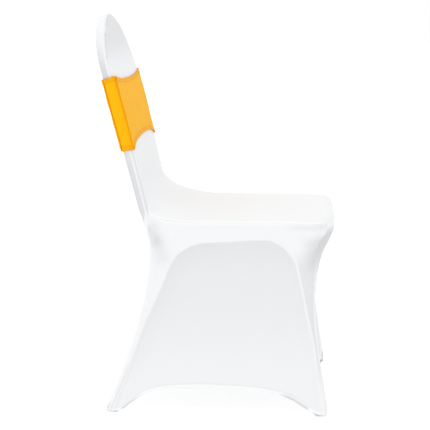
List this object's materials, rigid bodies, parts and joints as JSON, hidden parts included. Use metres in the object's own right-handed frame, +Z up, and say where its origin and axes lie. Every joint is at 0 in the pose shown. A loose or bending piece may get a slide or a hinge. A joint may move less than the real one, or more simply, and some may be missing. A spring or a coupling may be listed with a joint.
{
  "type": "chair cover with sash",
  "caption": "Fitted stretch-knit cover for a stacking banquet chair, closed over the seat and back and open below, with foot pockets and a stretch sash round the back.",
  "frame": {"origin": "middle of the inner face of the seat top, where the chair's seat holds the cover up", "axes": "+Z up, -Y towards the front of the chair, X across its width; the cover is the same on both sides of X = 0"},
  "size_m": [0.442, 0.5613, 0.9205],
  "materials": {
    "white_knit": "smooth matt stretch knit with a slight sheen",
    "golden_knit": "smooth stretch knit with a soft sheen"
  },
  "bodies": {
    "root": {"front_panel": "white_knit", "back_panel": "white_knit", "side_panel_left": "white_knit", "side_panel_right": "white_knit", "sash_band": "golden_knit", "foot_pocket_front_left": "white_knit", "foot_pocket_front_right": "white_knit", "foot_pocket_rear_left": "white_knit", "foot_pocket_rear_right": "white_knit"}
  },
  "joints": []
}
